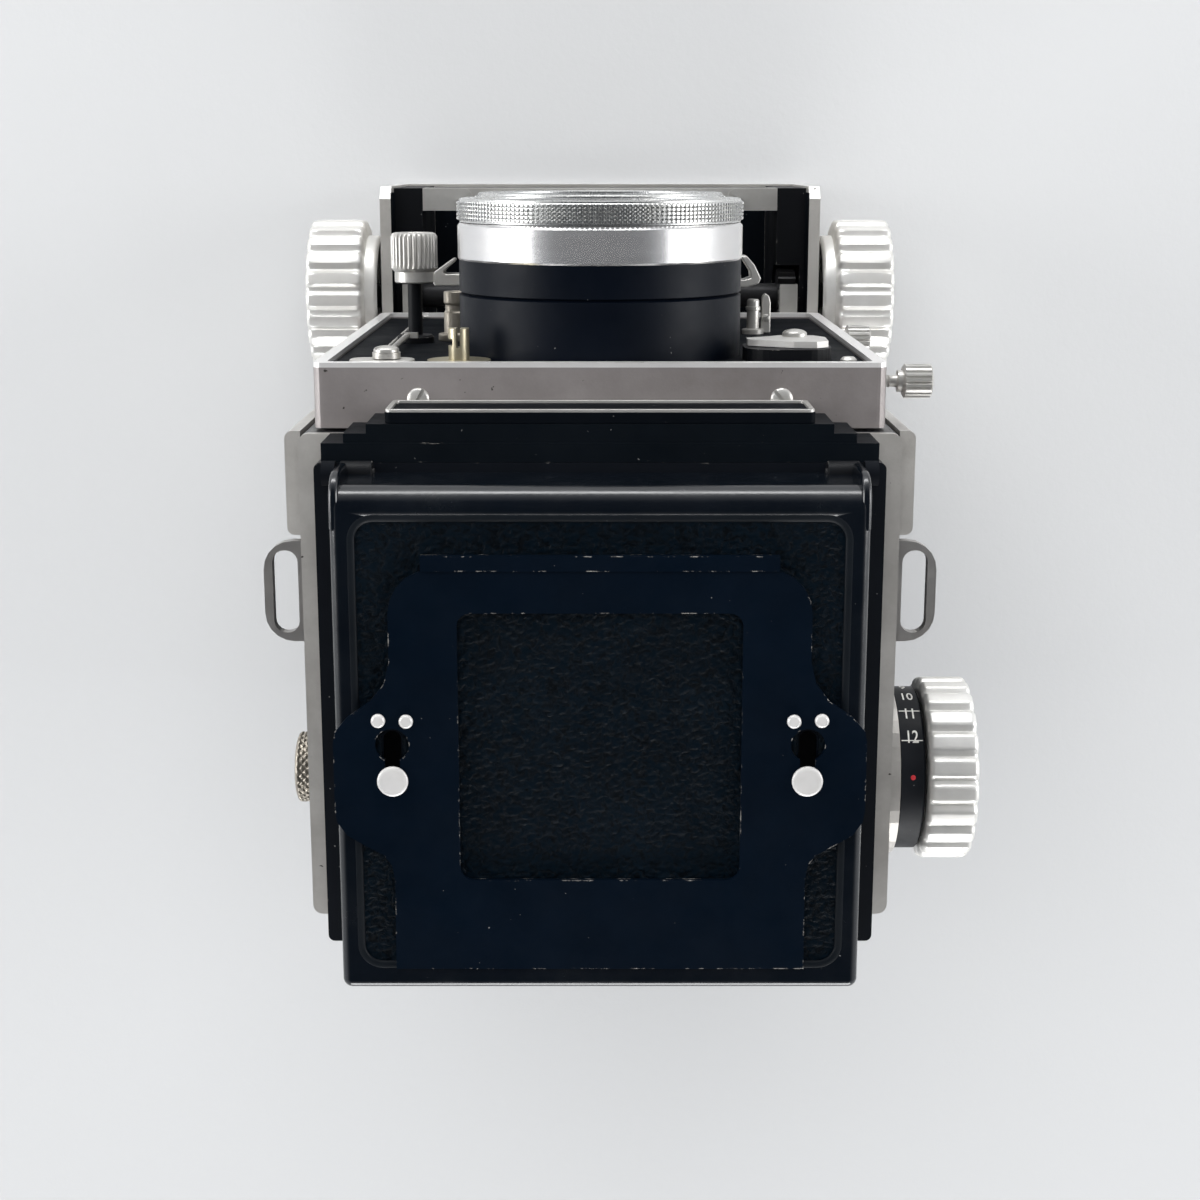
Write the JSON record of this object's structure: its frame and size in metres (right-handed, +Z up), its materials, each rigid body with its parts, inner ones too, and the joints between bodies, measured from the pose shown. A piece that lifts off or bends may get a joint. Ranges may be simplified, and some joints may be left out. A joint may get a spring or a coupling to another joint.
{
  "type": "twin lens reflex camera",
  "caption": "Box-shaped twin lens reflex camera with a sliding lens standard, focusing knobs, film advance knob and folding viewing hood.",
  "frame": {"origin": "mouth of the tripod socket, at the centre of the underside", "axes": "+Z up towards the viewing hood, -Y forward out of the lenses, -X to the viewer's right (film advance side)"},
  "size_m": [0.1214, 0.115, 0.1687],
  "materials": {
    "body_black": "satin black enamel",
    "gloss_black": "gloss black enamel",
    "matte_black": "matte black",
    "silver": "satin, slightly warm",
    "knob_silver": "fine satin",
    "chrome": "polished",
    "steel": "satin",
    "dark_nickel": "worn dark nickel",
    "brass": "pale satin",
    "leather": "black pebbled",
    "bellows_cloth": "matte black",
    "spool_plastic": "matte black",
    "dial_black": "black, white figures",
    "glass": "coated optical glass",
    "ground_glass": "fine ground",
    "mirror": "front silvered"
  },
  "bodies": {
    "camera_body": {"body_casting": "body_black", "top_plate": "silver", "base_plate": "body_black", "side_leather": "leather", "front_frame": "silver", "strap_lugs": "steel", "nose_block": "gloss_black", "nameplate": "steel", "mirror_glass": "mirror", "mirror_cradle": "matte_black", "focusing_screen": "ground_glass", "focus_bed": "silver", "guide_rails": "matte_black", "bed_bar": "steel", "advance_housing": "silver", "film_rollers": "steel", "hood_base": "gloss_black", "hinge_pins": "steel", "bellows": "bellows_cloth"},
    "focus_drive": {"focus_shaft": "steel", "focus_knobs": "knob_silver"},
    "lens_standard": {"front_standard": "silver", "racks": "steel", "lens_board": "matte_black", "viewing_barrel": "gloss_black", "viewing_band": "chrome", "filter_rings": "knob_silver", "lens_glass": "glass", "shutter_housing": "matte_black", "taking_barrel": "gloss_black", "sync_socket": "steel", "board_fittings": "steel", "hook_post": "brass"},
    "speed_ring": {"speed_ring": "silver"},
    "cocking_lever": {"cocking_lever": "chrome"},
    "aperture_lever": {"aperture_lever": "silver"},
    "release_lever": {"release_lever": "chrome"},
    "bail_knob": {"bail_knob": "dark_nickel"},
    "lens_bail": {"lens_bail": "steel"},
    "thumbscrew": {"thumbscrew": "steel"},
    "thumbscrew_lower": {"thumbscrew_lower": "steel"},
    "takeup_spool": {"takeup_spool": "spool_plastic"},
    "supply_spool": {"supply_spool": "spool_plastic"},
    "spool_knob_upper": {"spool_knob_upper": "dark_nickel"},
    "spool_knob_lower": {"spool_knob_lower": "dark_nickel"},
    "counter_dial": {"counter_dial": "dial_black"},
    "advance_knob": {"advance_knob": "knob_silver"},
    "rear_door": {"rear_door": "body_black", "rear_leather": "leather", "pressure_plate": "matte_black"},
    "door_latch": {"door_latch": "silver"},
    "hood_lid": {"hood_lid": "gloss_black", "lid_leather": "leather"},
    "mask_plate": {"mask_plate": "matte_black", "mask_studs": "chrome"},
    "flap_left": {"flap_left": "matte_black"},
    "flap_right": {"flap_right": "matte_black"},
    "flap_rear": {"flap_rear": "matte_black"},
    "magnifier": {"magnifier_frame": "matte_black", "magnifier_lens": "glass"}
  },
  "joints": [
    {"name": "focus_slide", "type": "slide", "parent": "camera_body", "child": "lens_standard", "axis": [0, -1, 0], "range_m": [0, 0.045], "deforming": ["bellows"]},
    {"name": "focus_turn", "type": "hinge", "parent": "camera_body", "child": "focus_drive", "pos_m": [0, -0.0517, 0.027], "axis": [1, 0, 0], "range_deg": [0, 516]},
    {"name": "speed_set", "type": "hinge", "parent": "lens_standard", "child": "speed_ring", "pos_m": [0, -0.0576, 0.0614], "axis": [0, -1, 0], "range_deg": [-90, 90]},
    {"name": "shutter_cock", "type": "hinge", "parent": "lens_standard", "child": "cocking_lever", "pos_m": [0, -0.0573, 0.0614], "axis": [0, -1, 0], "range_deg": [0, 55]},
    {"name": "aperture_set", "type": "hinge", "parent": "lens_standard", "child": "aperture_lever", "pos_m": [0, -0.0569, 0.0614], "axis": [0, 1, 0], "range_deg": [0, 50]},
    {"name": "release_press", "type": "hinge", "parent": "lens_standard", "child": "release_lever", "pos_m": [-0.0316, -0.0509, 0.1189], "axis": [0, -1, 0], "range_deg": [0, 12], "stiffness_Nm_per_rad": 0.01, "springref_deg": -17.19},
    {"name": "bail_knob_turn", "type": "hinge", "parent": "lens_standard", "child": "bail_knob", "pos_m": [0.0324, -0.062, 0.0926], "axis": [0, -1, 0], "continuous": true},
    {"name": "bail_swing", "type": "hinge", "parent": "lens_standard", "child": "lens_bail", "pos_m": [0.0334, -0.0497, 0.1315], "axis": [0, -1, 0], "range_deg": [0, 10]},
    {"name": "thumbscrew_turn", "type": "hinge", "parent": "lens_standard", "child": "thumbscrew", "pos_m": [-0.0486, -0.0456, 0.132], "axis": [1, 0, 0], "continuous": true},
    {"name": "thumbscrew_lower_turn", "type": "hinge", "parent": "lens_standard", "child": "thumbscrew_lower", "pos_m": [-0.0486, -0.0456, 0.06], "axis": [1, 0, 0], "continuous": true},
    {"name": "advance_turn", "type": "hinge", "parent": "camera_body", "child": "advance_knob", "pos_m": [-0.06, 0.022, 0.118], "axis": [1, 0, 0], "continuous": true},
    {"name": "counter_turn", "type": "hinge", "parent": "camera_body", "child": "counter_dial", "pos_m": [-0.0535, 0.022, 0.118], "axis": [1, 0, 0], "continuous": true},
    {"name": "takeup_turn", "type": "hinge", "parent": "camera_body", "child": "takeup_spool", "pos_m": [0, 0.022, 0.118], "axis": [1, 0, 0], "continuous": true},
    {"name": "supply_turn", "type": "hinge", "parent": "camera_body", "child": "supply_spool", "pos_m": [0, 0.022, 0.019], "axis": [1, 0, 0], "continuous": true},
    {"name": "upper_knob_pull", "type": "slide", "parent": "camera_body", "child": "spool_knob_upper", "axis": [1, 0, 0], "range_m": [0, 0.006], "stiffness_N_per_m": 60, "springref_m": -0.004},
    {"name": "lower_knob_pull", "type": "slide", "parent": "camera_body", "child": "spool_knob_lower", "axis": [1, 0, 0], "range_m": [0, 0.006], "stiffness_N_per_m": 60, "springref_m": -0.004},
    {"name": "door_open", "type": "hinge", "parent": "camera_body", "child": "rear_door", "pos_m": [0, 0.0382, 0.0031], "axis": [-1, 0, 0], "range_deg": [0, 90]},
    {"name": "latch_slide", "type": "slide", "parent": "rear_door", "child": "door_latch", "axis": [0, 0, -1], "range_m": [0, 0.002], "stiffness_N_per_m": 100, "springref_m": -0.004},
    {"name": "hood_open", "type": "hinge", "parent": "camera_body", "child": "hood_lid", "pos_m": [0, -0.0344, 0.1534], "axis": [1, 0, 0], "range_deg": [0, 92]},
    {"name": "mask_slide", "type": "slide", "parent": "hood_lid", "child": "mask_plate", "axis": [0, -1, 0], "range_m": [0, 0.0052]},
    {"name": "magnifier_fold", "type": "hinge", "parent": "hood_lid", "child": "magnifier", "pos_m": [0, 0.0256, 0.1624], "axis": [1, 0, 0], "range_deg": [0, 90]},
    {"name": "flap_left_fold", "type": "hinge", "parent": "camera_body", "child": "flap_left", "pos_m": [0.0372, 0, 0.1468], "axis": [0, 1, 0], "range_deg": [0, 90]},
    {"name": "flap_right_fold", "type": "hinge", "parent": "camera_body", "child": "flap_right", "pos_m": [-0.0372, 0, 0.1468], "axis": [0, -1, 0], "range_deg": [0, 90]},
    {"name": "flap_rear_fold", "type": "hinge", "parent": "camera_body", "child": "flap_rear", "pos_m": [0, 0.0359, 0.1436], "axis": [-1, 0, 0], "range_deg": [0, 90]}
  ],
  "couplings": [
    {"joint": "focus_turn", "follows": "focus_slide", "rad_per_m": 200},
    {"joint": "counter_turn", "follows": "advance_turn", "ratio": 0.08},
    {"joint": "takeup_turn", "follows": "advance_turn", "ratio": 1},
    {"joint": "magnifier_fold", "follows": "hood_open", "ratio": 0.978},
    {"joint": "flap_left_fold", "follows": "hood_open", "ratio": 0.978},
    {"joint": "flap_right_fold", "follows": "hood_open", "ratio": 0.978},
    {"joint": "flap_rear_fold", "follows": "hood_open", "ratio": 0.978}
  ]
}
